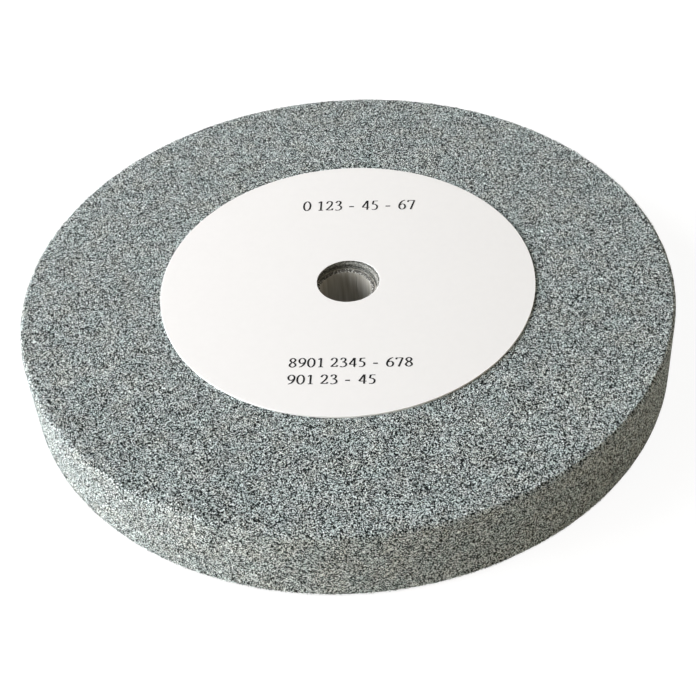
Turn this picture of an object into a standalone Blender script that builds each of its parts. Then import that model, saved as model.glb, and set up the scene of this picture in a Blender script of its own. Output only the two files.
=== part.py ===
"""Bench grinding wheel, 200 mm across and 25 mm wide, for a 16 mm spindle.

An abrasive wheel with a bush cast into its core and a paper blotter glued to each side face.
It lies flat: Z is the spindle axis, and the origin is the middle of the wheel. All sizes are
in metres.
"""

import math

import bpy

# Abrasive wheel
WHEEL_DIAMETER = 0.200
WHEEL_WIDTH = 0.025
RIM_ARRIS = 0.0005  # radius of the worn edge between the rim and a side face
CORE_ARRIS = 0.0002  # chamfer at each mouth of the core hole

# Arbor bush
BORE_DIAMETER = 0.016
BUSH_WALL = 0.0015
BUSH_RECESS = 0.0022  # from a side face down to the lip of the bush
BUSH_LIP = 0.0004  # flat ring round each end of the bush
COUNTERSINK_DEPTH = 0.0004  # from the lip down to the edge of the bore

# Ring left in the wall of the core hole by the mould, above each end of the bush
GROOVE_START = 0.0010  # from a side face down to the groove
GROOVE_WIDTH = 0.0007
GROOVE_DEPTH = 0.0003

# Paper blotters
BLOTTER_DIAMETER = 0.1152
BLOTTER_THICKNESS = 0.0003
BLOTTER_HOLE_ROOM = 0.00015  # the hole's radius over the bush's
BLOTTER_OFFSET = (0.0006, 0.0003)  # how far off the axis the printed blotter was glued
PUNCH_OFFSET = (0.0010, 0.0003)  # how far off the axis its hole lies

# Room that two pieces in contact keep between them
SEAT_GAP = 0.0003

# Facets
RIM_STEPS = 128
BORE_STEPS = 64
ARRIS_STEPS = 3
SHARP_ANGLE = math.radians(30)
PUNCH_OVERRUN = 0.001  # how far the cutter passes each face of the paper

# Derived sizes
WHEEL_RADIUS = WHEEL_DIAMETER / 2
HALF_WIDTH = WHEEL_WIDTH / 2
BORE_RADIUS = BORE_DIAMETER / 2
BUSH_RADIUS = BORE_RADIUS + BUSH_WALL
CORE_RADIUS = BUSH_RADIUS + SEAT_GAP
BUSH_END = HALF_WIDTH - BUSH_RECESS
BLOTTER_HOLE_RADIUS = BUSH_RADIUS + BLOTTER_HOLE_ROOM
BLOTTER_MIDDLE = HALF_WIDTH + SEAT_GAP + BLOTTER_THICKNESS / 2


def clear_scene():
    """Removes whatever the file holds at the start."""
    for obj in list(bpy.data.objects):
        bpy.data.objects.remove(obj, do_unlink=True)


def new_collection(name):
    """A collection of this name, linked to the scene."""
    collection = bpy.data.collections.new(name)
    bpy.context.scene.collection.children.link(collection)
    return collection


def new_material(name, colour, roughness):
    """A Principled material that isn't metal."""
    material = bpy.data.materials.new(name)
    material.use_nodes = True
    shader = material.node_tree.nodes["Principled BSDF"]
    shader.inputs["Base Color"].default_value = (*colour, 1.0)
    shader.inputs["Roughness"].default_value = roughness
    shader.inputs["Metallic"].default_value = 0.0
    material.diffuse_color = (*colour, 1.0)
    return material


def with_far_end(wall):
    """A wall's upper half, top to bottom, and then its mirror image below the middle."""
    return wall + [(radius, -height) for radius, height in reversed(wall)]


def turned_piece(name, outer_wall, inner_wall, steps, material, collection):
    """A ring turned from the upper halves of its two walls, the same at both ends."""
    outline = with_far_end(outer_wall) + with_far_end(inner_wall)[::-1]
    points = [(radius, 0.0, height) for radius, height in outline]
    edges = [(i, (i + 1) % len(points)) for i in range(len(points))]
    profile = bpy.data.meshes.new(name + "_profile")
    profile.from_pydata(points, edges, [])
    piece = bpy.data.objects.new(name, profile)
    collection.objects.link(piece)

    screw = piece.modifiers.new("turn", "SCREW")
    screw.axis = "Z"
    screw.steps = steps
    screw.render_steps = steps
    screw.use_merge_vertices = True
    screw.merge_threshold = 0.00001

    solid = bpy.data.meshes.new_from_object(
        piece.evaluated_get(bpy.context.evaluated_depsgraph_get())
    )
    piece.modifiers.clear()
    piece.data = solid
    solid.name = name
    bpy.data.meshes.remove(profile)
    dress(piece, material)
    return piece


def dress(piece, material):
    """Gives a piece its material, smooth on its round faces and sharp at its edges."""
    piece.data.materials.clear()
    piece.data.materials.append(material)
    piece.data.shade_smooth()
    piece.data.set_sharp_from_angle(angle=SHARP_ANGLE)


def disc(name, radius, depth, centre, steps, collection):
    """A flat disc round Z, moved into its collection."""
    bpy.ops.mesh.primitive_cylinder_add(
        vertices=steps, radius=radius, depth=depth, location=centre
    )
    piece = bpy.context.active_object
    piece.name = name
    piece.data.name = name
    for holder in list(piece.users_collection):
        holder.objects.unlink(piece)
    collection.objects.link(piece)
    return piece


def build_abrasive_wheel(material, collection):
    """The abrasive body, with rounded rim edges and a grooved core hole."""
    rim = []
    for step in range(ARRIS_STEPS + 1):
        turn = math.pi / 2 * step / ARRIS_STEPS
        rim.append(
            (
                WHEEL_RADIUS - RIM_ARRIS * (1 - math.sin(turn)),
                HALF_WIDTH - RIM_ARRIS * (1 - math.cos(turn)),
            )
        )
    groove_top = HALF_WIDTH - GROOVE_START
    core = [
        (CORE_RADIUS + CORE_ARRIS, HALF_WIDTH),
        (CORE_RADIUS, HALF_WIDTH - CORE_ARRIS),
        (CORE_RADIUS, groove_top),
        (CORE_RADIUS + GROOVE_DEPTH, groove_top - GROOVE_WIDTH / 2),
        (CORE_RADIUS, groove_top - GROOVE_WIDTH),
    ]
    return turned_piece("abrasive_wheel", rim, core, RIM_STEPS, material, collection)


def build_arbor_bush(material, collection):
    """The bush that sizes the core hole to the spindle, countersunk inside its lip."""
    outside = [(BUSH_RADIUS, BUSH_END)]
    inside = [
        (BUSH_RADIUS - BUSH_LIP, BUSH_END),
        (BORE_RADIUS, BUSH_END - COUNTERSINK_DEPTH),
    ]
    return turned_piece("arbor_bush", outside, inside, BORE_STEPS, material, collection)


def build_blotter(name, side, offset, punch_offset, material, collection, cutters):
    """A paper disc on one side face (side is 1 or -1), punched for the spindle."""
    height = side * BLOTTER_MIDDLE
    blotter = disc(
        name, BLOTTER_DIAMETER / 2, BLOTTER_THICKNESS, (*offset, height), RIM_STEPS, collection
    )
    punch = disc(
        name + "_punch",
        BLOTTER_HOLE_RADIUS,
        BLOTTER_THICKNESS + 2 * PUNCH_OVERRUN,
        (*punch_offset, height),
        BORE_STEPS,
        cutters,
    )
    punch.hide_render = True
    punch.display_type = "WIRE"
    cut = blotter.modifiers.new("punched hole", "BOOLEAN")
    cut.operation = "DIFFERENCE"
    cut.object = punch
    dress(blotter, material)
    return blotter


def main():
    """Builds the wheel's pieces and hangs them on one axis."""
    clear_scene()
    parts = new_collection("bench_grinding_wheel")
    cutters = new_collection("cutters")
    grit = new_material("grey_green_grit", (0.29, 0.33, 0.32), 0.9)
    cast_bush = new_material("cast_bush", (0.21, 0.20, 0.17), 0.6)
    paper = new_material("blotter_paper", (0.90, 0.89, 0.87), 0.75)

    axis = bpy.data.objects.new("spindle_axis", None)
    parts.objects.link(axis)
    on_axis = (0.0, 0.0)
    pieces = [
        build_abrasive_wheel(grit, parts),
        build_arbor_bush(cast_bush, parts),
        build_blotter("front_blotter", 1, BLOTTER_OFFSET, PUNCH_OFFSET, paper, parts, cutters),
        build_blotter("rear_blotter", -1, on_axis, on_axis, paper, parts, cutters),
    ]
    for piece in pieces:
        piece.parent = axis


main()
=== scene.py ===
"""Looks of the bench grinding wheel: bonded grit, cast bush, paper blotters and their print.

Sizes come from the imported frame. Every length is in metres, and Z is the spindle axis.
"""

import logging
import math
from dataclasses import dataclass
from enum import Enum

import bmesh
import bpy
import numpy as np
from mathutils import Matrix
from mathutils import Vector
from mathutils import geometry
from mathutils import noise


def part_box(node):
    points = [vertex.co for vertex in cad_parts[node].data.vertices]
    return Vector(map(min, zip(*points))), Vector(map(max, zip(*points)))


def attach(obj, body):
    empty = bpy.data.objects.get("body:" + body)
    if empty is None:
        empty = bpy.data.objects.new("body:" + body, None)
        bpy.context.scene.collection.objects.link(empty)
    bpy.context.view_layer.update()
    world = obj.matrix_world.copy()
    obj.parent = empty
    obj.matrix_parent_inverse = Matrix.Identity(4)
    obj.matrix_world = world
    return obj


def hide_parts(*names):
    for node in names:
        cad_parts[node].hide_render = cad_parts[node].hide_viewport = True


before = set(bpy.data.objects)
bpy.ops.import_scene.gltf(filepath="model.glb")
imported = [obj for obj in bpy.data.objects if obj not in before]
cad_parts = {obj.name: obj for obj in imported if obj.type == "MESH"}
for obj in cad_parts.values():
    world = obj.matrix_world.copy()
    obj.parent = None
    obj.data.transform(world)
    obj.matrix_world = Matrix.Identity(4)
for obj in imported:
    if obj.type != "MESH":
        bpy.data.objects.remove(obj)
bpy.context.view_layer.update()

LOG = logging.getLogger("grinding_wheel")
ROOT_BODY = "root"
MM = 0.001
MICRON = 1e-6
FULL_TURN = 2 * math.pi

# Room for rounding: three lengths in metres, and a turn in segments
MERGE_GAP = 0.0005 * MM
SAME_PLACE = 1e-9
SAME_HEIGHT = 1e-7
SAME_TURN = 1e-6

# A normal whose upright share is over this faces up or down
LEVEL = 0.7

# Colour sockets of a Mix node, which share their names with its other sockets
MIX_PLAIN = 6
MIX_TINT = 7
MIX_RESULT = 2

Colour = tuple[float, float, float]
Factors = tuple[float, float, float]
Stops = tuple[tuple[float, Colour], ...]
Corner = tuple[float, float, int]
Point = tuple[float, float]
Seats = tuple[np.ndarray, np.ndarray]


class Side(Enum):
    """A side face of the wheel, by the sign of its height."""

    FRONT = 1
    REAR = -1


@dataclass(frozen=True)
class RingSizes:
    """A turned node's sizes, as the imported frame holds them."""

    inner: float
    outer: float
    low: float
    high: float
    centre: Vector
    hole_centre: Vector

    @classmethod
    def of_node(cls, node: str) -> "RingSizes":
        """Reads a ring from the corners of its node.

        Args:
            node: The name of the node.

        Returns:
            The ring's radii, heights and the centres of its rim and hole.
        """
        low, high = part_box(node)
        centre = Vector(((low.x + high.x) / 2, (low.y + high.y) / 2))
        outer = (high.x - low.x) / 2
        points = [vertex.co.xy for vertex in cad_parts[node].data.vertices]
        nearest = min((point - centre).length for point in points)
        hole = [point for point in points if (point - centre).length < (nearest + outer) / 2]
        hole_low = Vector((min(point.x for point in hole), min(point.y for point in hole)))
        hole_high = Vector((max(point.x for point in hole), max(point.y for point in hole)))
        hole_centre = (hole_low + hole_high) / 2
        inner = min((point - hole_centre).length for point in hole)
        return cls(inner, outer, low.z, high.z, centre, hole_centre)


@dataclass(frozen=True)
class Blotches:
    """A soft noise: the size of its blotches, and how many finer layers it has."""

    size: float
    detail: float


@dataclass(frozen=True)
class Bump:
    """A bump in a finish: its depth, and the share of it that shows."""

    depth: float
    share: float


class NodeTree:
    """The nodes of a material or of the world, with short calls to add and wire them."""

    def __init__(self, owner: bpy.types.ID) -> None:
        """Turns on the nodes of a material or a world."""
        owner.use_nodes = True
        self.tree = owner.node_tree

    def node(self, kind: str, **settings: object) -> bpy.types.Node:
        """Adds a node.

        Args:
            kind: The node's type, without the ShaderNode prefix.
            **settings: The node's own options.

        Returns:
            The new node.
        """
        added = self.tree.nodes.new("ShaderNode" + kind)
        for name, value in settings.items():
            setattr(added, name, value)
        return added

    def wire(self, source: bpy.types.NodeSocket, target: bpy.types.NodeSocket) -> None:
        """Joins an output to an input."""
        self.tree.links.new(source, target)

    def seen_by_lens(self) -> bpy.types.NodeSocket:
        """Adds a test for rays that show a surface: the camera's own, and those of gloss and glass.

        Returns:
            The socket that gives 1 for such a ray.
        """
        path = self.node("LightPath")
        seen = path.outputs["Is Camera Ray"]
        for ray in ("Is Glossy Ray", "Is Transmission Ray"):
            either = self.node("Math", operation="MAXIMUM")
            self.wire(seen, either.inputs[0])
            self.wire(path.outputs[ray], either.inputs[1])
            seen = either.outputs[0]
        return seen

    def finish(self, seen: bpy.types.Node, unseen: bpy.types.Node, output: str) -> None:
        """Ends the tree with one shader where it is seen, and another where it only lights.

        Args:
            seen: The shader for rays that show a surface.
            unseen: The shader for all other rays.
            output: The output node's type, without the ShaderNode prefix.
        """
        mix = self.node("MixShader")
        out = self.node(output)
        self.wire(self.seen_by_lens(), mix.inputs[0])
        self.wire(unseen.outputs[0], mix.inputs[1])
        self.wire(seen.outputs[0], mix.inputs[2])
        self.wire(mix.outputs[0], out.inputs[0])


class ShaderTree(NodeTree):
    """A new Principled material, with short calls for its pattern, colour and bump."""

    def __init__(self, name: str, roughness: float, gloss: float = 0.5) -> None:
        """Starts the material.

        Args:
            name: The material's name.
            roughness: The roughness of its surface, from 0 to 1.
            gloss: How strongly it mirrors, 0.5 for common glass and paint.
        """
        self.material = bpy.data.materials.new(name)
        super().__init__(self.material)
        self.shader = self.tree.nodes["Principled BSDF"]
        self.shader.inputs["Roughness"].default_value = roughness
        self.shader.inputs["Specular IOR Level"].default_value = gloss

    def points(self, stretch: Factors = (1.0, 1.0, 1.0)) -> bpy.types.NodeSocket:
        """The surface's own coordinates, stretched.

        Args:
            stretch: The factor along each axis.

        Returns:
            The socket that gives the coordinates.
        """
        place = self.node("TexCoord")
        mapping = self.node("Mapping")
        mapping.inputs["Scale"].default_value = stretch
        self.wire(place.outputs["Object"], mapping.inputs["Vector"])
        return mapping.outputs["Vector"]

    def noise(self, points: bpy.types.NodeSocket, blotches: Blotches) -> bpy.types.NodeSocket:
        """Adds a soft noise.

        Args:
            points: The coordinates that it reads.
            blotches: Its size and detail.

        Returns:
            The socket of its value.
        """
        added = self.node("TexNoise")
        added.inputs["Scale"].default_value = 1 / blotches.size
        added.inputs["Detail"].default_value = blotches.detail
        self.wire(points, added.inputs["Vector"])
        return added.outputs["Fac"]

    def ramp(self, value: bpy.types.NodeSocket, stops: Stops) -> bpy.types.NodeSocket:
        """Turns a value into a colour.

        Args:
            value: The socket of the value.
            stops: The place and colour of each stop, in order.

        Returns:
            The socket of the colour.
        """
        ramp = self.node("ValToRGB")
        elements = ramp.color_ramp.elements
        while len(elements) < len(stops):
            elements.new(0.5)
        for element, (place, colour) in zip(elements, stops):
            element.position = place
            element.color = (*colour, 1.0)
        self.wire(value, ramp.inputs["Fac"])
        return ramp.outputs["Color"]

    def bump(self, height: bpy.types.NodeSocket, bump: Bump) -> None:
        """Gives the surface a bump.

        Args:
            height: The socket of the height, from 0 to 1.
            bump: The bump's depth and share.
        """
        raised = self.node("Bump")
        raised.inputs["Distance"].default_value = bump.depth
        raised.inputs["Strength"].default_value = bump.share
        self.wire(height, raised.inputs["Height"])
        self.wire(raised.outputs["Normal"], self.shader.inputs["Normal"])

    def tinted(
        self, plain: bpy.types.NodeSocket, tint: bpy.types.NodeSocket
    ) -> bpy.types.NodeSocket:
        """Multiplies one colour by another.

        Args:
            plain: The socket of the plain colour.
            tint: The socket of the tint.

        Returns:
            The socket of the tinted colour.
        """
        mix = self.node("Mix", data_type="RGBA", blend_type="MULTIPLY")
        mix.inputs["Factor"].default_value = 1.0
        self.wire(plain, mix.inputs[MIX_PLAIN])
        self.wire(tint, mix.inputs[MIX_TINT])
        return mix.outputs[MIX_RESULT]

    def colour(self, socket: bpy.types.NodeSocket) -> None:
        """Wires a colour to the shader."""
        self.wire(socket, self.shader.inputs["Base Color"])

    def painted(self, colour: Colour) -> bpy.types.Material:
        """Gives the shader one plain colour, and returns the material."""
        self.shader.inputs["Base Color"].default_value = (*colour, 1.0)
        return self.material


@dataclass(frozen=True)
class BondFinish:
    """The fired bond between the grains: dark pores and small crushed grains."""

    cell: float = 0.295 * MM
    roughness: float = 0.9
    gloss: float = 0.1
    bump: Bump = Bump(0.12 * MM, 0.6)
    patches: Blotches = Blotches(7 * MM, 1.0)
    stops: Stops = (
        (0.0, (0.008, 0.010, 0.010)),
        (0.56, (0.020, 0.024, 0.024)),
        (0.62, (0.46, 0.51, 0.505)),
        (1.0, (0.86, 0.90, 0.89)),
    )
    tints: Stops = (
        (0.36, (1.0, 0.98, 0.935)),
        (0.5, (1.0, 1.0, 1.0)),
        (0.64, (0.945, 1.0, 0.995)),
    )

    def material(self) -> bpy.types.Material:
        """Makes the finish.

        Returns:
            The material.
        """
        shader = ShaderTree("fired_bond", self.roughness, self.gloss)
        cells = shader.node("TexVoronoi", feature="F1")
        cells.inputs["Scale"].default_value = 1 / self.cell
        shader.wire(shader.points(), cells.inputs["Vector"])
        tone = shader.node("SeparateColor")
        shader.wire(cells.outputs["Color"], tone.inputs["Color"])
        plain = shader.ramp(tone.outputs["Red"], self.stops)
        patches = shader.noise(shader.points(), self.patches)
        shader.colour(shader.tinted(plain, shader.ramp(patches, self.tints)))
        shader.bump(cells.outputs["Distance"], self.bump)
        return shader.material


@dataclass(frozen=True)
class GrainKind:
    """One kind of grain in the mix: its colour, gloss and share."""

    name: str
    colour: Colour
    share: float
    roughness: float = 0.5
    gloss: float = 0.25

    def material(self) -> bpy.types.Material:
        """Returns the finish as a material."""
        return ShaderTree(self.name, self.roughness, self.gloss).painted(self.colour)


def noise_at(places: np.ndarray, size: float) -> np.ndarray:
    """Returns the soft noise at each place, with blotches of that size."""
    return np.array([noise.noise(Vector(place) / size) for place in places])


@dataclass(frozen=True)
class GrainMix:
    """The kinds of grain in the wheel, and how the tinted and the light ones gather in patches."""

    kinds: tuple[GrainKind, ...] = (
        GrainKind("black_grain", (0.008, 0.011, 0.011), 0.45),
        GrainKind("slate_grain", (0.10, 0.122, 0.122), 0.03),
        GrainKind("grey_grain", (0.299, 0.365, 0.355), 0.06),
        GrainKind("pale_grain", (0.568, 0.66, 0.642), 0.14),
        GrainKind("white_grain", (0.888, 0.955, 0.934), 0.28),
        GrainKind("green_grain", (0.20, 0.262, 0.257), 0.02),
        GrainKind("brown_grain", (0.34, 0.328, 0.298), 0.02),
    )
    patch: float = 6 * MM
    gather: float = 0.2
    cloud: float = 8 * MM
    cloudy: float = 0.06
    tintable: tuple[int, int] = (1, 2)
    green: int = 5
    brown: int = 6
    all_tinted: float = 0.8
    last_draw: float = 0.999

    @property
    def extremes(self) -> tuple[int, int]:
        """The numbers of the darkest kind and of the lightest."""
        order = sorted(range(len(self.kinds)), key=lambda i: self.kinds[i].colour[1])
        return order[0], order[-1]

    def choose(self, places: np.ndarray, rng: np.random.Generator) -> np.ndarray:
        """Picks the kind of each grain.

        Args:
            places: The grains' seats.
            rng: The source of the choice.

        Returns:
            The number of each grain's kind.
        """
        edges = np.cumsum([kind.share for kind in self.kinds])
        draw = rng.uniform(0, 1, len(places)) + noise_at(places, self.cloud) * self.cloudy
        picked = np.searchsorted(edges / edges[-1], np.clip(draw, 0, self.last_draw))
        drift = noise_at(places, self.patch)
        chance = rng.uniform(0, 1, len(places)) * self.all_tinted
        tinted = np.isin(picked, self.tintable)
        picked[tinted & (drift > self.gather) & (chance < drift)] = self.green
        picked[tinted & (drift < -self.gather) & (chance < -drift)] = self.brown
        return picked


@dataclass(frozen=True)
class CoreFinish:
    """The wall of the core hole, smeared smooth by its mould."""

    smears: Blotches = Blotches(0.5 * MM, 4.0)
    squat: Factors = (1.0, 1.0, 1.6)
    bump: Bump = Bump(0.10 * MM, 0.5)
    roughness: float = 0.8
    stops: Stops = (
        (0.34, (0.04, 0.041, 0.037)),
        (0.50, (0.18, 0.18, 0.162)),
        (0.66, (0.42, 0.42, 0.385)),
    )

    def material(self) -> bpy.types.Material:
        """Makes the finish.

        Returns:
            The material.
        """
        shader = ShaderTree("core_wall", self.roughness)
        smears = shader.noise(shader.points(self.squat), self.smears)
        shader.colour(shader.ramp(smears, self.stops))
        shader.bump(smears, self.bump)
        return shader.material


@dataclass(frozen=True)
class BushFinish:
    """The cast bush: dull brown grey and streaked along the bore, its sunken ends painted darker as
    shade.
    """

    roughness: float = 0.5
    end_roughness: float = 0.8
    pit_shade_gloss: float = 0.2
    streaks: Blotches = Blotches(1.1 * MM, 3.0)
    drawn: Factors = (1.0, 1.0, 0.06)
    bump: Bump = Bump(0.06 * MM, 0.5)
    pits: Blotches = Blotches(0.7 * MM, 4.0)
    pit_bump: Bump = Bump(0.12 * MM, 0.6)
    wall: Stops = (
        (0.3, (0.31, 0.285, 0.235)),
        (0.55, (0.42, 0.40, 0.355)),
        (0.8, (0.55, 0.54, 0.50)),
    )
    # The ends' tones are painted shade: darker than the bore, standing for the shade in the sunken
    # ends.
    end: Stops = (
        (0.3, (0.035, 0.033, 0.028)),
        (0.5, (0.10, 0.094, 0.083)),
        (0.7, (0.24, 0.23, 0.205)),
    )
    crumb: Colour = (0.70, 0.69, 0.65)
    # Near-black crumbs are painted shade, standing for the dark pits and gaps at the bore's edge.
    chip: Colour = (0.03, 0.03, 0.027)

    def material(self) -> bpy.types.Material:
        """Makes the finish of the bore.

        Returns:
            The material.
        """
        shader = ShaderTree("cast_bush", self.roughness)
        streaks = shader.noise(shader.points(self.drawn), self.streaks)
        shader.colour(shader.ramp(streaks, self.wall))
        shader.bump(streaks, self.bump)
        return shader.material

    def end_material_with_painted_shade(self) -> bpy.types.Material:
        """Makes the finish of the ends, painted darker as the shade in their recess.

        Returns:
            The material.
        """
        shader = ShaderTree("bush_end_painted_shade", self.end_roughness)
        pits = shader.noise(shader.points(), self.pits)
        shader.colour(shader.ramp(pits, self.end))
        shader.bump(pits, self.pit_bump)
        return shader.material

    def crumb_materials(self) -> list[bpy.types.Material]:
        """Makes the finishes of the crumbs.

        Returns:
            The materials of the light crumbs and of the dark ones, whose near-black is painted
            shade of pits.
        """
        light = ShaderTree("bush_crumb", self.end_roughness)
        dark = ShaderTree("bush_chip_painted_shade", self.end_roughness, self.pit_shade_gloss)
        return [light.painted(self.crumb), dark.painted(self.chip)]


@dataclass(frozen=True)
class PaperFinish:
    """Smooth blotter paper, with faint mottling."""

    name: str = "blotter_paper"
    tones: Stops = ((0.35, (0.803, 0.786, 0.767)), (0.65, (0.812, 0.795, 0.776)))
    cut: Colour = (0.87, 0.858, 0.84)
    roughness: float = 0.6
    mottle: Blotches = Blotches(2 * MM, 5.0)
    fibres: Blotches = Blotches(0.4 * MM, 3.0)
    bump: Bump = Bump(0.02 * MM, 0.25)

    def material(self) -> bpy.types.Material:
        """Makes the finish.

        Returns:
            The material.
        """
        shader = ShaderTree(self.name, self.roughness)
        mottle = shader.noise(shader.points(), self.mottle)
        shader.colour(shader.ramp(mottle, self.tones))
        shader.bump(shader.noise(shader.points(), self.fibres), self.bump)
        return shader.material

    def edge_material(self) -> bpy.types.Material:
        """Returns the finish of the cut edges as a material."""
        return ShaderTree(self.name + "_edge", self.roughness).painted(self.cut)


@dataclass(frozen=True)
class InkFinish:
    """Black print, a little broken where the paper's fibres show."""

    tones: Stops = ((0.45, (0.006, 0.006, 0.007)), (0.8, (0.035, 0.034, 0.034)))
    fibres: Blotches = Blotches(0.35 * MM, 2.0)
    roughness: float = 0.7
    gloss: float = 0.12

    def material(self) -> bpy.types.Material:
        """Makes the finish.

        Returns:
            The material.
        """
        shader = ShaderTree("black_print", self.roughness, self.gloss)
        shader.colour(shader.ramp(shader.noise(shader.points(), self.fibres), self.tones))
        return shader.material


def finished_piece(
    name: str, mesh: bpy.types.Mesh, materials: list[bpy.types.Material]
) -> bpy.types.Object:
    """Puts a finished mesh into the scene, on the wheel's body.

    Args:
        name: The piece's name.
        mesh: Its mesh, already in place.
        materials: Its materials, in the order that its faces number them.

    Returns:
        The piece.
    """
    mesh.name = name
    for material in materials:
        mesh.materials.append(material)
    piece = bpy.data.objects.new(name, mesh)
    bpy.context.scene.collection.objects.link(piece)
    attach(piece, ROOT_BODY)
    mesh.calc_loop_triangles()
    LOG.info("%s: %d triangles", name, len(mesh.loop_triangles))
    return piece


def is_across(edge: bmesh.types.BMEdge, steps: int) -> bool:
    """Tells whether an edge runs round the axis.

    Args:
        edge: An edge of a turned ring.
        steps: The ring's segments.

    Returns:
        True if its ends are a segment apart.
    """
    start, end = (vertex.co.xy for vertex in edge.verts)
    return abs(start.angle_signed(end)) > math.pi / steps


def mirrored(upper: list[Corner], outer_cuts: int, inner_cuts: int) -> list[Corner]:
    """Closes an outline whose lower half mirrors its upper half.

    Args:
        upper: The upper corners, from the inner wall out to the outer one.
        outer_cuts: The cuts in the stretch down the outer wall.
        inner_cuts: The cuts in the stretch up the inner wall.

    Returns:
        All the corners.
    """
    cuts = [cut for _, _, cut in reversed(upper[:-1])] + [inner_cuts]
    lower = [(radius, -height, cut) for (radius, height, _), cut in zip(reversed(upper), cuts)]
    return [*upper[:-1], (*upper[-1][:2], outer_cuts), *lower]


def turned(corners: list[Corner], steps: int, cuts: int = 0) -> bmesh.types.BMesh:
    """Turns a closed outline round the spindle axis.

    Args:
        corners: Each corner's radius and height, and the cuts in the stretch that follows it.
        steps: The number of segments that the spin makes.
        cuts: The cuts in each of those segments, which are then rounded out again.

    Returns:
        The turned ring, closed and facing outwards.
    """
    ring = bmesh.new()
    verts = [ring.verts.new((radius, 0.0, height)) for radius, height, _ in corners]
    edges = [ring.edges.new((verts[i - 1], verts[i])) for i in range(len(verts))]
    for i, edge in enumerate(edges):
        if corners[i - 1][2]:
            bmesh.ops.subdivide_edges(ring, edges=[edge], cuts=corners[i - 1][2])
    bmesh.ops.spin(
        ring,
        geom=list(ring.verts) + list(ring.edges),
        cent=(0, 0, 0),
        axis=(0, 0, 1),
        dvec=(0, 0, 0),
        angle=FULL_TURN,
        steps=steps,
        use_merge=True,
        use_duplicate=False,
    )
    bmesh.ops.remove_doubles(ring, verts=ring.verts, dist=MERGE_GAP)
    if cuts:
        across = [edge for edge in ring.edges if is_across(edge, steps)]
        bmesh.ops.subdivide_edges(ring, edges=across, cuts=cuts, use_grid_fill=True)
        for vertex in ring.verts:
            turn = math.atan2(vertex.co.y, vertex.co.x) / FULL_TURN * steps
            off_middle = (turn - math.floor(turn + SAME_TURN) - 0.5) * FULL_TURN / steps
            grow = math.cos(off_middle) / math.cos(math.pi / steps)
            vertex.co = Vector((vertex.co.x * grow, vertex.co.y * grow, vertex.co.z))
    bmesh.ops.recalc_face_normals(ring, faces=ring.faces)
    ring.normal_update()
    return ring


def as_mesh(shape: bmesh.types.BMesh) -> bpy.types.Mesh:
    """Turns a bmesh into a mesh and frees it.

    Args:
        shape: The bmesh.

    Returns:
        The mesh.
    """
    mesh = bpy.data.meshes.new("piece")
    shape.to_mesh(mesh)
    shape.free()
    return mesh


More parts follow.
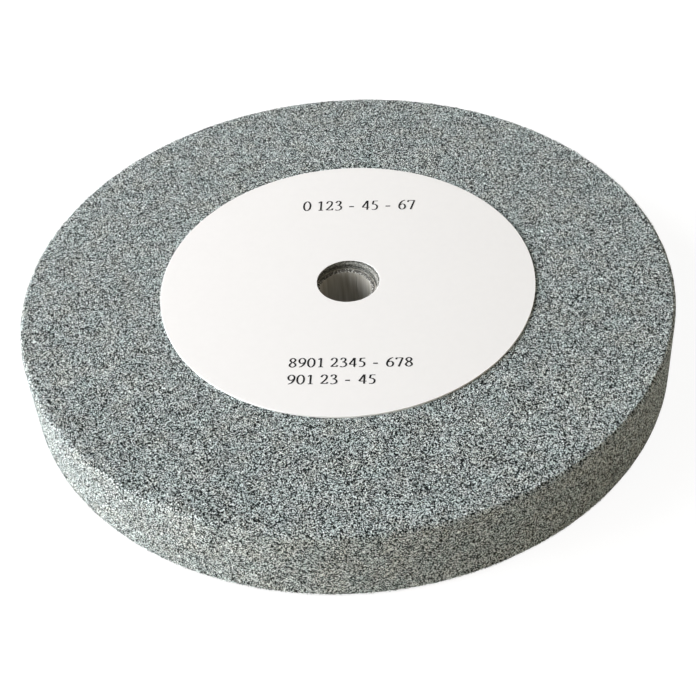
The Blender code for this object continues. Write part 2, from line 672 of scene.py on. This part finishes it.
@dataclass
class AbrasiveBody:
    """The bonded body of the wheel, with its worn edges and a rough surface."""

    wheel: RingSizes
    blotter: RingSizes
    bush: RingSizes
    steps: int = 68
    step_cuts: int = 4
    pitch: float = 2.2 * MM
    below_grains: float = 0.10 * MM
    arris: float = 0.9 * MM
    relief: float = 0.05 * MM
    swell: float = 0.03 * MM
    swell_size: float = 3 * MM
    under_paper: float = 1.5 * MM
    calm: float = 1.1 * MM
    groove_start: float = 1.05 * MM
    groove_width: float = 0.8 * MM
    groove_depth: float = 0.8 * MM
    groove_floor: tuple[float, float] = (0.9, 0.2)
    behind_bush: float = 0.5 * MM
    calm_share: float = 0.25
    shift: tuple[float, float] = (0.2, 0.15)
    seed: int = 11

    def outline(self) -> list[Corner]:
        """Draws the body's outline.

        Returns:
            Its corners, each with the cuts in the stretch after it.
        """
        rim = self.wheel.outer - self.below_grains
        face = self.wheel.high - self.below_grains
        core = self.wheel.inner
        covered = self.blotter.outer - self.under_paper
        mouth = core + self.under_paper
        fine = round((rim - covered) / self.pitch)
        groove = face - self.groove_start
        low, high = (groove - self.groove_width * share for share in self.groove_floor)
        upper = [
            (core, self.bush.high - self.behind_bush, 2),
            (core, groove - self.groove_width, 0),
            (core + self.groove_depth, low, 0),
            (core + self.groove_depth, high, 0),
            (core, groove, 2),
            (core, face - self.arris / 2, 0),
            (core + self.arris / 2, face, 1),
            (mouth, face, 5),
            (covered, face, fine),
            (rim - self.arris, face, 1),
            (rim, face - self.arris, 0),
        ]
        return mirrored(upper, round(2 * face / self.pitch), 2)

    def is_calm(self, place: Vector) -> bool:
        """Tells whether a place is at the core hole or a worn edge, where the body is smoother.

        Args:
            place: A place on the body.

        Returns:
            True if it is.
        """
        reach = place.xy.length
        at_edge = min(reach - self.wheel.outer, abs(place.z) - self.wheel.high) > -self.calm
        return at_edge or reach < self.wheel.inner + self.calm

    def place_in_ring(self, vertex: bmesh.types.BMVert) -> tuple[int, int, int]:
        """Numbers a vertex by its place, because the order in which bmesh keeps them varies.

        Args:
            vertex: A vertex of the turned ring.

        Returns:
            Its column round the axis, and its height and radius in microns.
        """
        columns = self.steps * (self.step_cuts + 1)
        turn = math.atan2(vertex.co.y, vertex.co.x) / FULL_TURN
        radius = vertex.co.xy.length
        return round(turn * columns) % columns, round(vertex.co.z / MICRON), round(radius / MICRON)

    def build(self) -> None:
        """Builds the body in place of its node."""
        ring = turned(self.outline(), self.steps, self.step_cuts)
        rng = np.random.default_rng(self.seed)
        jolts = rng.uniform(-1, 1, (len(ring.verts), 3))
        mouth = self.wheel.inner + self.calm
        for face in ring.faces:
            face.material_index = int(face.calc_center_median().xy.length < mouth)
        for vertex, jolt in zip(sorted(ring.verts, key=self.place_in_ring), jolts):
            up = Vector((0, 0, 1)) if abs(vertex.normal.z) < LEVEL else Vector((1, 0, 0))
            side = vertex.normal.cross(up).normalized()
            swell = noise.noise(vertex.co / self.swell_size) * self.swell
            fine = self.calm_share if self.is_calm(vertex.co) else 1.0
            vertex.co += vertex.normal * (swell + jolt[0] * self.relief) * fine
            vertex.co += side * jolt[1] * self.pitch * self.shift[0] * fine
            vertex.co += side.cross(vertex.normal) * jolt[2] * self.pitch * self.shift[1] * fine
            vertex.co.xy *= min(1.0, self.wheel.outer / vertex.co.xy.length)
        finishes = [BondFinish().material(), CoreFinish().material()]
        body = finished_piece("abrasive_body", as_mesh(ring), finishes)
        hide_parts("abrasive_wheel")


@dataclass
class GrainCoat:
    """The grains that stand out of the body, trued to the wheel's own faces."""

    wheel: RingSizes
    blotter: RingSizes
    mix: GrainMix
    front_pitch: float = 0.440 * MM
    rim_pitch: float = 0.425 * MM
    rear_pitch: float = 0.96 * MM
    rear_size: float = 1.3
    half_length: tuple[float, float] = (0.18, 0.31)  # in millimetres
    squash: tuple[float, float] = (0.75, 1.0)
    tip: float = 1.3
    under_paper: float = 0.7 * MM
    sunk: float = 0.08 * MM
    proud: float = 0.06 * MM
    worn: float = 1.1 * MM
    uneven: float = 0.45
    chip: float = 4 * MM
    own_facets: float = 0.08
    large_share: float = 0.03
    large: float = 1.4
    large_lift: float = 0.16 * MM
    large_proud: float = 0.14 * MM
    large_dark: float = 0.5
    speck_share: float = 0.007
    speck: float = 2.6
    seed: int = 23

    def shard(self) -> tuple[np.ndarray, np.ndarray]:
        """Makes one grain, a three-sided cone whose base has a radius of 1.

        Returns:
            Its corners, about their middle, and its triangles.
        """
        shape = bmesh.new()
        bmesh.ops.create_cone(shape, cap_ends=True, segments=3, radius1=1.0, depth=self.tip)
        bmesh.ops.recalc_face_normals(shape, faces=shape.faces)
        corners = np.array([vertex.co for vertex in shape.verts])
        triangles = np.array([[vertex.index for vertex in face.verts] for face in shape.faces])
        shape.free()
        return corners - corners.mean(0), triangles

    def face_seats(
        self, side: Side, inner: float, outer: float, pitch: float, rng: np.random.Generator
    ) -> Seats:
        """Scatters seats over a ring of a side face.

        Args:
            side: The side face.
            inner: The ring's inner radius.
            outer: Its outer radius.
            pitch: The mean gap between seats.
            rng: The source of the scatter.

        Returns:
            The seats and the way that each faces.
        """
        rows = round((outer - inner) / pitch)
        seats = []
        for radius in np.linspace(inner, outer, rows, endpoint=False):
            count = round(FULL_TURN * radius / pitch)
            turn = (np.arange(count) + rng.uniform(0, 1, count)) / count * FULL_TURN
            reach = radius + rng.uniform(0, pitch, count)
            height = np.full(count, side.value * self.wheel.high)
            seats.append(np.stack([reach * np.cos(turn), reach * np.sin(turn), height], 1))
        places = np.concatenate(seats)
        return places, np.tile([0.0, 0.0, float(side.value)], (len(places), 1))

    def wall_seats(self, low: float, high: float, rng: np.random.Generator) -> Seats:
        """Scatters seats over a band of the rim.

        Args:
            low: The band's lower end.
            high: Its upper end.
            rng: The source of the scatter.

        Returns:
            The seats and the way that each faces.
        """
        rows = round((high - low) / self.rim_pitch)
        count = round(FULL_TURN * self.wheel.outer / self.rim_pitch)
        row, column = np.meshgrid(np.arange(rows), np.arange(count), indexing="ij")
        turn = (column + rng.uniform(0, 1, row.shape) + row * 0.5) / count * FULL_TURN
        height = low + (row + rng.uniform(0, 1, row.shape)) / rows * (high - low)
        way = np.stack([np.cos(turn), np.sin(turn), np.zeros(row.shape)], 2).reshape(-1, 3)
        places = way * self.wheel.outer
        places[:, 2] = height.ravel()
        return places, way

    def turns(self, count: int, rng: np.random.Generator) -> np.ndarray:
        """Draws turns at random, spread evenly over all turns.

        Args:
            count: How many.
            rng: The source of the turns.

        Returns:
            The rotation matrices.
        """
        spins = rng.normal(size=(4, count))
        w, x, y, z = spins / np.linalg.norm(spins, axis=0)
        rows = [
            [1 - 2 * (y * y + z * z), 2 * (x * y - z * w), 2 * (x * z + y * w)],
            [2 * (x * y + z * w), 1 - 2 * (x * x + z * z), 2 * (y * z - x * w)],
            [2 * (x * z - y * w), 2 * (y * z + x * w), 1 - 2 * (x * x + y * y)],
        ]
        return np.array(rows).transpose(2, 0, 1)

    def wear_edges(self, corners: np.ndarray, places: np.ndarray) -> None:
        """Holds corners inside the rim, and draws those past the rounded edges back to them.

        Args:
            corners: The grains' corners, which are moved.
            places: The grains' seats, in the same order.
        """
        chips = np.repeat(noise_at(places, self.chip), len(corners) // len(places))
        worn = self.worn * (1 + self.uneven * chips)
        reach = np.linalg.norm(corners[:, :2], axis=1)
        out = np.minimum(reach, self.wheel.outer) - self.wheel.outer + worn
        up = np.abs(corners[:, 2]) - self.wheel.high + worn
        past = 1 - worn / np.maximum(np.hypot(out, up), worn)
        past[(out < 0) | (up < 0)] = 0
        kept = np.minimum(reach, self.wheel.outer) - out * past
        corners[:, :2] *= (kept / reach)[:, None]
        corners[:, 2] -= np.sign(corners[:, 2]) * up * past

    def grains(self, name: str, seats: Seats, size: float, rng: np.random.Generator) -> None:
        """Sets a turned and trued grain on each seat.

        Args:
            name: The piece's name.
            seats: The seats and their ways.
            size: The grains' size, 1 for the finest.
            rng: The source of the grains' sizes, turns and kinds.
        """
        places, ways = seats
        corners, triangles = self.shard()
        count = len(places)
        low, high = (length * size * MM for length in self.half_length)
        sizes = rng.uniform(low, high, (count, 1, 1)) * rng.uniform(*self.squash, (count, 1, 3))
        large = rng.uniform(0, 1, count) < self.large_share
        speck = large & (rng.uniform(0, 1, count) < self.speck_share)
        sizes[large] *= self.large
        sizes[speck] *= self.speck / self.large
        points = np.einsum("nij,nkj->nki", self.turns(count, rng), corners[None] * sizes)
        lift = np.where(large, self.large_lift, -self.sunk)
        points += (places + ways * lift[:, None])[:, None]
        above = np.einsum("nki,ni->nk", points - places[:, None], ways)
        proud = np.where(large, self.large_proud, self.proud)[:, None]
        points -= ways[:, None] * np.maximum(above - proud, 0)[..., None]
        flat = points.reshape(-1, 3)
        self.wear_edges(flat, places)
        offsets = np.arange(count)[:, None, None] * len(corners)
        mesh = bpy.data.meshes.new(name)
        mesh.from_pydata(flat.tolist(), [], (triangles[None] + offsets).reshape(-1, 3).tolist())
        kinds = np.repeat(self.mix.choose(places, rng), len(triangles)).astype(np.int32)
        facets = self.mix.choose(np.repeat(places, len(triangles), 0), rng)
        own = rng.uniform(0, 1, len(kinds)) < self.own_facets
        kinds[own] = facets[own]
        dark, light = self.mix.extremes
        big = np.where(rng.uniform(0, 1, count) < self.large_dark, dark, light)
        big[speck] = light
        kinds[np.repeat(large, len(triangles))] = np.repeat(big[large], len(triangles))
        mesh.polygons.foreach_set("material_index", kinds)
        materials = [bpy.data.materials[kind.name] for kind in self.mix.kinds]
        finished_piece(name, mesh, materials)

    def build(self) -> None:
        """Builds the coats of both side faces and of the rim."""
        for kind in self.mix.kinds:
            kind.material()
        rng = np.random.default_rng(self.seed)
        names = ("front_inner_grains", "front_middle_grains", "front_outer_grains")
        inner = self.blotter.outer - self.under_paper
        outer = self.wheel.outer - self.front_pitch
        rings = np.sqrt(np.linspace(inner**2, outer**2, len(names) + 1))
        zones: dict[str, Seats] = {
            name: self.face_seats(Side.FRONT, start, end, self.front_pitch, rng)
            for name, start, end in zip(names, rings, rings[1:])
        }
        zones["rim_upper_grains"] = self.wall_seats(0.0, self.wheel.high, rng)
        zones["rim_lower_grains"] = self.wall_seats(self.wheel.low, 0.0, rng)
        outer = self.wheel.outer - self.rear_pitch
        rear = self.face_seats(Side.REAR, inner, outer, self.rear_pitch, rng)
        for name, seats in zones.items():
            self.grains(name, seats, 1.0, rng)
        self.grains("rear_grains", rear, self.rear_size, rng)


@dataclass
class ArborBush:
    """The cast bush in the core hole, with a ragged edge round its bore."""

    bush: RingSizes
    steps: int = 216
    lip: float = 0.4 * MM
    sink: float = 0.4 * MM
    ragged: float = 0.32 * MM
    streaks: float = 0.04 * MM
    seam_turn: float = 69.0
    seam_width: float = 0.2 * MM
    seam_depth: float = 0.24 * MM
    crumbs: int = 420
    crumb_size: tuple[float, float] = (0.08 * MM, 0.21 * MM)
    crumb_spread: float = 0.3 * MM
    crumb_reach: float = 1.2 * MM
    crumb_jolt: tuple[float, float] = (0.6, 1.3)
    pit_shade_crumbs: float = 0.36
    fine_wall: float = 2 * MM
    break_height: float = 0.5 * MM
    break_reach: float = 0.8 * MM
    rough_sizes: tuple[float, float] = (0.9 * MM, 0.35 * MM)
    rough_base: float = 0.25
    streak_size: float = 0.8 * MM
    seam_lean: float = 0.3
    sharp_angle: float = math.radians(40)
    seed: int = 31

    def build(self) -> None:
        """Builds the bush in place of its node, and the crumbs round its bore."""
        bore, outer, end = self.bush.inner, self.bush.outer, self.bush.high
        upper = [
            (bore, end - self.sink - self.fine_wall, 5),
            (bore, end - self.sink, 4),
            (outer - self.lip, end, 1),
            (outer, end, 0),
        ]
        ring = turned(mirrored(upper, 3, 5), self.steps)
        for face in ring.faces:
            # The sunken end faces take the end finish, whose darker tone is painted shade.
            slope = face.calc_center_median().xy.length < outer - self.lip
            face.material_index = int(slope and abs(face.normal.z) > LEVEL)
        for vertex in ring.verts:
            self.roughen(vertex)
        finish = BushFinish()
        finishes = [finish.material(), finish.end_material_with_painted_shade()]
        piece = finished_piece("cast_bush", as_mesh(ring), finishes)
        piece.data.shade_smooth()
        piece.data.set_sharp_from_angle(angle=self.sharp_angle)
        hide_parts("arbor_bush")
        crumbs = finish.crumb_materials()
        finished_piece("front_bush_crumbs", self.crumble(Side.FRONT), crumbs)
        finished_piece("rear_bush_crumbs", self.crumble(Side.REAR), crumbs)

    def crumble(self, side: Side) -> bpy.types.Mesh:
        """Scatters crumbs along the broken edge of the bore; the dark ones are painted shade of its
        pits and gaps.

        Args:
            side: The end of the bush.

        Returns:
            The crumbs' mesh.
        """
        rng = np.random.default_rng(self.seed + side.value)
        shape = bmesh.new()
        for _ in range(self.crumbs):
            turn = rng.uniform(0, FULL_TURN)
            size = rng.uniform(*self.crumb_size)
            beyond = min(rng.exponential(self.crumb_spread), self.crumb_reach)
            reach = self.bush.inner + size * 0.5 + beyond
            slope = 1 - beyond / (self.bush.outer - self.lip - self.bush.inner)
            height = side.value * (self.bush.high - self.sink * max(slope, 0.0))
            place = Vector((math.cos(turn) * reach, math.sin(turn) * reach, height))
            crumb = bmesh.ops.create_icosphere(shape, subdivisions=1, radius=size)["verts"]
            for vertex, jolt in zip(crumb, rng.uniform(*self.crumb_jolt, len(crumb))):
                vertex.co = vertex.co * jolt + place
            # A share of the crumbs is near-black, as painted shade for the pits at the edge.
            dark = int(rng.uniform() < self.pit_shade_crumbs)
            for face in {face for vertex in crumb for face in vertex.link_faces}:
                face.material_index = dark
        bmesh.ops.recalc_face_normals(shape, faces=shape.faces)
        return as_mesh(shape)

    def roughen(self, vertex: bmesh.types.BMVert) -> None:
        """Breaks the edge of the bore and streaks its wall.

        Args:
            vertex: A vertex of the turned ring, which is moved.
        """
        radius = vertex.co.xy.length
        way = Vector((vertex.co.x, vertex.co.y, 0)) / radius
        edge = self.bush.high - self.sink
        near = math.exp(-(((abs(vertex.co.z) - edge) / self.break_height) ** 2))
        inside = max(0.0, 1 - (radius - self.bush.inner) / self.break_reach)
        coarse, fine = (noise.noise(vertex.co / size) for size in self.rough_sizes)
        rough = coarse + 0.5 * fine + self.rough_base
        vertex.co += way * self.ragged * near * inside * max(0.0, rough)
        streak = noise.noise(Vector((way.x, way.y, 0)) * self.bush.inner / self.streak_size)
        vertex.co += way * self.streaks * inside * max(0.0, streak)
        off = math.atan2(vertex.co.y, vertex.co.x) - math.radians(self.seam_turn)
        seam = off * self.bush.inner / self.seam_width
        lean = self.seam_lean - seam
        vertex.co += way * self.seam_depth * inside * lean * math.exp(-(seam**2))


@dataclass
class PaperBlotter:
    """A paper disc on a side face, glued down on the grains."""

    name: str
    node: str
    slot: str
    side: Side
    wheel: RingSizes
    sizes: RingSizes
    finish: PaperFinish
    steps: int = 240
    print_room: float = 0.03 * MM
    edge: float = 0.05 * MM
    thickness: float = 0.13 * MM
    pressed: float = 0.26 * MM
    ripple: float = 0.012 * MM
    ripple_size: float = 14 * MM
    ripple_rest: float = 0.5
    glued: float = 0.05 * MM
    undercut: float = 1 * MM
    sharp_angle: float = math.radians(30)

    def build(self) -> None:
        """Builds the blotter in place of its node."""
        outer, inner = self.sizes.outer, self.sizes.inner
        far = max(abs(self.sizes.low), abs(self.sizes.high)) - self.print_room
        near = self.wheel.high - self.glued
        outline = [
            (inner + self.undercut, near, 0),
            (inner, far - self.thickness, 0),
            (inner, far - self.edge, 0),
            (inner + self.edge, far, 0),
            (inner + self.pressed, far, 7),
            (outer - self.pressed, far, 0),
            (outer - self.edge, far, 0),
            (outer, far - self.edge, 0),
            (outer, near, 3),
        ]
        disc = turned(outline, self.steps)
        face = (inner + self.pressed, outer - self.pressed)
        for part in disc.faces:
            reach = part.calc_center_median().xy.length
            part.material_index = int(not face[0] < reach < face[1])
        for vertex in disc.verts:
            radius = vertex.co.xy.length
            share = (radius - inner) / (outer - inner)
            centre = self.sizes.hole_centre.lerp(self.sizes.centre, min(1, max(0, share)))
            if abs(vertex.co.z - far) < SAME_HEIGHT:
                swell = noise.noise(vertex.co / self.ripple_size) - self.ripple_rest
                vertex.co.z += swell * self.ripple
            vertex.co += Vector((centre.x, centre.y, 0))
        if self.side is Side.REAR:
            bmesh.ops.scale(disc, vec=(1, 1, -1), verts=disc.verts)
            bmesh.ops.recalc_face_normals(disc, faces=disc.faces)
        finishes = [self.finish.material(), self.finish.edge_material()]
        piece = finished_piece(self.name, as_mesh(disc), finishes)
        piece.data.shade_smooth()
        piece.data.set_sharp_from_angle(angle=self.sharp_angle)
        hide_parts(self.node)


@dataclass(frozen=True)
class PenStroke:
    """One stroke of a broad pen, through points in digit heights."""

    points: tuple[Point, ...]
    curved: bool = True
    closed: bool = False

    def path(self, pieces: int) -> list[Vector]:
        """Draws the stroke's middle line.

        Args:
            pieces: The points that each curved stretch is given.

        Returns:
            The line's points, the last at the end of the stroke.
        """
        knots = [Vector((*point, 0.0)) for point in self.points]
        if not self.curved:
            return knots
        if self.closed:
            knots = [knots[-1], *knots, knots[0], knots[1]]
        else:
            knots = [2 * knots[0] - knots[1], *knots, 2 * knots[-1] - knots[-2]]
        line: list[Vector] = []
        for before, start, end, after in zip(knots, knots[1:], knots[2:], knots[3:]):
            handles = (start + (end - before) / 6, end - (after - start) / 6)
            line += geometry.interpolate_bezier(start, *handles, end, pieces)[:-1]
        return line + [knots[-2]]


def curve(*points: Point) -> PenStroke:
    """Returns a curved stroke."""
    return PenStroke(points)


def loop(*points: Point) -> PenStroke:
    """Returns a curved stroke that ends where it starts."""
    return PenStroke(points, closed=True)


def bar(*points: Point) -> PenStroke:
    """Returns a straight stroke."""
    return PenStroke(points, curved=False)


SIX = (
    (0.52, 0.97), (0.33, 0.90), (0.16, 0.70), (0.06, 0.42), (0.09, 0.16), (0.28, 0.01),
    (0.49, 0.12), (0.54, 0.33), (0.46, 0.53), (0.30, 0.58), (0.12, 0.48),
)

MARKS: dict[str, tuple[PenStroke, ...]] = {
    "0": (
        loop(
            (0.31, 0.99), (0.10, 0.80), (0.05, 0.50), (0.10, 0.20),
            (0.31, 0.01), (0.52, 0.20), (0.57, 0.50), (0.52, 0.80),
        ),
    ),
    "1": (
        bar((0.12, 0.83), (0.33, 0.97)),
        bar((0.34, 0.98), (0.34, 0.03)),
        bar((0.16, 0.03), (0.53, 0.03)),
    ),
    "2": (
        curve(
            (0.06, 0.74), (0.12, 0.90), (0.28, 0.985), (0.44, 0.91),
            (0.49, 0.73), (0.42, 0.52), (0.24, 0.27), (0.05, 0.05),
        ),
        bar((0.05, 0.06), (0.52, 0.06)),
        bar((0.50, 0.05), (0.57, 0.20)),
    ),
    "3": (
        curve(
            (0.07, 0.80), (0.15, 0.94), (0.29, 0.985), (0.42, 0.90),
            (0.44, 0.75), (0.36, 0.61), (0.20, 0.53),
        ),
        curve(
            (0.20, 0.54), (0.38, 0.50), (0.51, 0.36), (0.50, 0.17),
            (0.36, 0.04), (0.18, 0.01), (0.05, 0.07),
        ),
    ),
    "4": (
        bar((0.40, 0.97), (0.03, 0.28)),
        bar((0.03, 0.28), (0.60, 0.28)),
        bar((0.43, 0.98), (0.43, 0.01)),
    ),
    "5": (
        bar((0.17, 0.94), (0.53, 0.94)),
        bar((0.18, 0.95), (0.11, 0.59)),
        curve(
            (0.11, 0.59), (0.30, 0.58), (0.45, 0.46), (0.49, 0.28),
            (0.42, 0.10), (0.25, 0.01), (0.06, 0.05),
        ),
    ),
    "6": (curve(*SIX),),
    "7": (
        bar((0.05, 0.94), (0.57, 0.94)),
        bar((0.06, 0.95), (0.03, 0.78)),
        bar((0.55, 0.94), (0.25, 0.0)),
    ),
    "8": (
        loop((0.31, 0.54), (0.14, 0.66), (0.11, 0.84), (0.31, 0.99), (0.50, 0.84), (0.47, 0.67)),
        loop((0.31, 0.53), (0.11, 0.37), (0.08, 0.17), (0.31, 0.01), (0.54, 0.17), (0.51, 0.37)),
    ),
    "9": (curve(*((0.62 - x, 1 - y) for x, y in SIX)),),
    "-": (
        bar((0.06, 0.40), (0.44, 0.40)),
        bar((0.06, 0.35), (0.44, 0.35)),
    ),
}


@dataclass(frozen=True)
class PrintLine:
    """One line of plain numbers: its marks, where it starts, and the marks' room and height."""

    marks: str
    left: float
    baseline: float
    room: float
    height: float


@dataclass
class BlotterPrint:
    """The plain numbers printed on the front blotter, written with a broad pen."""

    blotter: RingSizes
    lines: tuple[PrintLine, ...] = (
        PrintLine("0 123 - 45 - 67", -15.4 * MM, 35.15 * MM, 2.96 * MM, 4.9 * MM),
        PrintLine("8901 2345 - 678", -14.6 * MM, -37.5 * MM, 2.70 * MM, 3.8 * MM),
        PrintLine("901 23 - 45", -14.6 * MM, -44.4 * MM, 2.75 * MM, 3.8 * MM),
    )
    mark_width: float = 0.74
    space: float = 0.5
    nib: tuple[float, float] = (0.28 * MM, 0.125 * MM)
    pieces: int = 4
    thickness: float = 0.04 * MM
    join: float = 0.001 * MM

    def stroke(self, ink: bmesh.types.BMesh, path: list[Vector]) -> None:
        """Lays a stroke of the pen on the paper.

        Args:
            ink: The print, to which the stroke is added.
            path: The stroke's middle line.
        """
        last = len(path) - 1
        made = bmesh.ops.create_grid(ink, x_segments=last, y_segments=1, size=0.5)["verts"]
        for vertex in made:
            i = round((vertex.co.x + 0.5) * last)
            ahead = path[min(i + 1, last)] - path[max(i - 1, 0)]
            if (path[0] - path[last]).length < SAME_PLACE and i in (0, last):
                ahead = path[1] - path[last - 1]
            across = Vector((-ahead.y, ahead.x, 0)).normalized()
            half = math.hypot(self.nib[0] * across.x, self.nib[1] * across.y)
            vertex.co = path[i] + across * half * math.copysign(1, vertex.co.y)

    def build(self) -> None:
        """Writes every line, on top of the front blotter."""
        ink = bmesh.new()
        for line in self.lines:
            left = line.left
            for mark in line.marks:
                size = Vector((line.room / self.mark_width, line.height, 0))
                place = Vector((left, line.baseline, self.blotter.high))
                for pen in MARKS.get(mark, ()):
                    self.stroke(ink, [place + point * size for point in pen.path(self.pieces)])
                left += line.room * (self.space if mark == " " else 1)
        bmesh.ops.remove_doubles(ink, verts=ink.verts, dist=self.join)
        thick = bmesh.ops.extrude_face_region(ink, geom=list(ink.faces))["geom"]
        lower = [part for part in thick if isinstance(part, bmesh.types.BMVert)]
        bmesh.ops.translate(ink, verts=lower, vec=(0, 0, -self.thickness))
        bmesh.ops.recalc_face_normals(ink, faces=ink.faces)
        finished_piece("blotter_print", as_mesh(ink), [InkFinish().material()])


@dataclass(frozen=True)
class SoftBox:
    """A square soft lamp that faces the wheel."""

    name: str
    azimuth: float
    elevation: float
    distance: float
    size: float
    power: float
    colour: Colour = (1.0, 1.0, 1.0)


def way_to(azimuth: float, elevation: float) -> Vector:
    """The way from the wheel to a place round it.

    Args:
        azimuth: Degrees round from -Y, towards +X.
        elevation: Degrees above the horizon.

    Returns:
        A unit vector.
    """
    turn, rise = math.radians(azimuth), math.radians(elevation)
    return Vector(
        (math.sin(turn) * math.cos(rise), -math.cos(turn) * math.cos(rise), math.sin(rise))
    )


@dataclass
class Studio:
    """Floor, lamps, background and camera."""

    floor_height: float
    lamps: tuple[SoftBox, ...] = (
        SoftBox("key_light", -87.0, 31.0, 1.5, 1.15, 33.0, (0.94, 1.0, 1.075)),
        SoftBox("wall_light", -55.0, 10.0, 1.2, 0.93, 14.6, (1.015, 1.0, 0.98)),
        SoftBox("edge_light", -116.0, 10.0, 1.0, 0.5, 8.3, (1.12, 1.0, 0.98)),
        SoftBox("fill_light", 88.0, 12.0, 1.2, 0.93, 3.0, (1.15, 1.0, 0.80)),
    )
    ambient: float = 0.125
    ambient_colour: Colour = (1.1, 1.0, 0.74)
    floor_colour: Colour = (0.80, 0.74, 0.655)
    floor_size: float = 1.5
    floor_seen: float = 0.18
    floor_lift: float = 0.92
    lens: float = 75.37
    camera_distance: float = 457.41 * MM
    camera_azimuth: float = 5.75
    camera_elevation: float = 42.235
    camera_roll: float = -4.548
    camera_pan: float = -0.00148
    camera_tilt: float = -0.02406

    def floor(self) -> None:
        """Builds the pale floor, lifted to white where it is seen, with the wheel's shadow."""
        shape = bmesh.new()
        bmesh.ops.create_grid(shape, x_segments=1, y_segments=1, size=self.floor_size)
        bmesh.ops.translate(shape, verts=shape.verts, vec=(0, 0, self.floor_height))
        floor = bpy.data.objects.new("floor", as_mesh(shape))
        material = bpy.data.materials.new("pale_floor")
        nodes = NodeTree(material)
        nodes.tree.nodes.clear()
        real = nodes.node("BsdfDiffuse")
        real.inputs["Color"].default_value = (*self.floor_colour, 1)
        shown = nodes.node("BsdfDiffuse")
        shown.inputs["Color"].default_value = (*[self.floor_seen] * 3, 1)
        lift = nodes.node("Emission")
        lift.inputs["Strength"].default_value = self.floor_lift
        both = nodes.node("AddShader")
        nodes.wire(shown.outputs[0], both.inputs[0])
        nodes.wire(lift.outputs[0], both.inputs[1])
        nodes.finish(both, real, "OutputMaterial")
        floor.data.materials.append(material)
        bpy.context.scene.collection.objects.link(floor)

    def background(self) -> None:
        """Makes the world white where it is seen, and a soft light elsewhere."""
        world = bpy.data.worlds.new("studio")
        bpy.context.scene.world = world
        nodes = NodeTree(world)
        nodes.tree.nodes.clear()
        soft = nodes.node("Background")
        soft.inputs["Color"].default_value = (*self.ambient_colour, 1)
        soft.inputs["Strength"].default_value = self.ambient
        white = nodes.node("Background")
        white.inputs["Color"].default_value = (1, 1, 1, 1)
        nodes.finish(white, soft, "OutputWorld")

    def hang(self, box: SoftBox) -> None:
        """Hangs a lamp.

        Args:
            box: The lamp's place, size, power and colour.
        """
        light = bpy.data.lights.new(box.name, "AREA")
        light.size = box.size
        light.energy = box.power
        light.color = box.colour
        lamp = bpy.data.objects.new(box.name, light)
        way = way_to(box.azimuth, box.elevation)
        lamp.location = way * box.distance
        lamp.rotation_euler = (-way).to_track_quat("-Z", "Y").to_euler()
        bpy.context.scene.collection.objects.link(lamp)

    def camera(self) -> None:
        """Sets the camera where the photograph was taken from."""
        back = way_to(self.camera_azimuth, self.camera_elevation)
        right = (-back).cross(Vector((0, 0, 1))).normalized()
        up = right.cross(-back)
        aim = (right * self.camera_pan + up * self.camera_tilt - back).normalized()
        right = aim.cross(up).normalized()
        up = right.cross(aim)
        roll = math.radians(self.camera_roll)
        side = right * math.cos(roll) + up * math.sin(roll)
        top = up * math.cos(roll) - right * math.sin(roll)
        camera = bpy.data.objects.new("camera", bpy.data.cameras.new("camera"))
        camera.data.lens = self.lens
        axes = Matrix((side, top, -aim)).transposed().to_4x4()
        camera.matrix_world = Matrix.Translation(back * self.camera_distance) @ axes
        bpy.context.scene.collection.objects.link(camera)
        bpy.context.scene.camera = camera

    def build(self) -> None:
        """Builds the whole studio."""
        self.floor()
        self.background()
        for box in self.lamps:
            self.hang(box)
        self.camera()
        bpy.context.scene.view_settings.view_transform = "Standard"


def main() -> None:
    """Builds every piece of the wheel, and the studio round it."""
    logging.basicConfig(level=logging.INFO, format="%(name)s: %(message)s")
    wheel = RingSizes.of_node("abrasive_wheel")
    bush = RingSizes.of_node("arbor_bush")
    front = RingSizes.of_node("front_blotter")
    rear = RingSizes.of_node("rear_blotter")
    AbrasiveBody(wheel, front, bush).build()
    GrainCoat(wheel, rear, GrainMix()).build()
    ArborBush(bush).build()
    PaperBlotter(
        "printed_blotter", "front_blotter", "printed_paper", Side.FRONT, wheel, front, PaperFinish()
    ).build()
    BlotterPrint(front).build()
    PaperBlotter(
        "plain_blotter", "rear_blotter", "plain_paper", Side.REAR, wheel, rear,
        PaperFinish("plain_paper"),
    ).build()
    Studio(floor_height=rear.low).build()


if __name__ == "__main__":
    main()
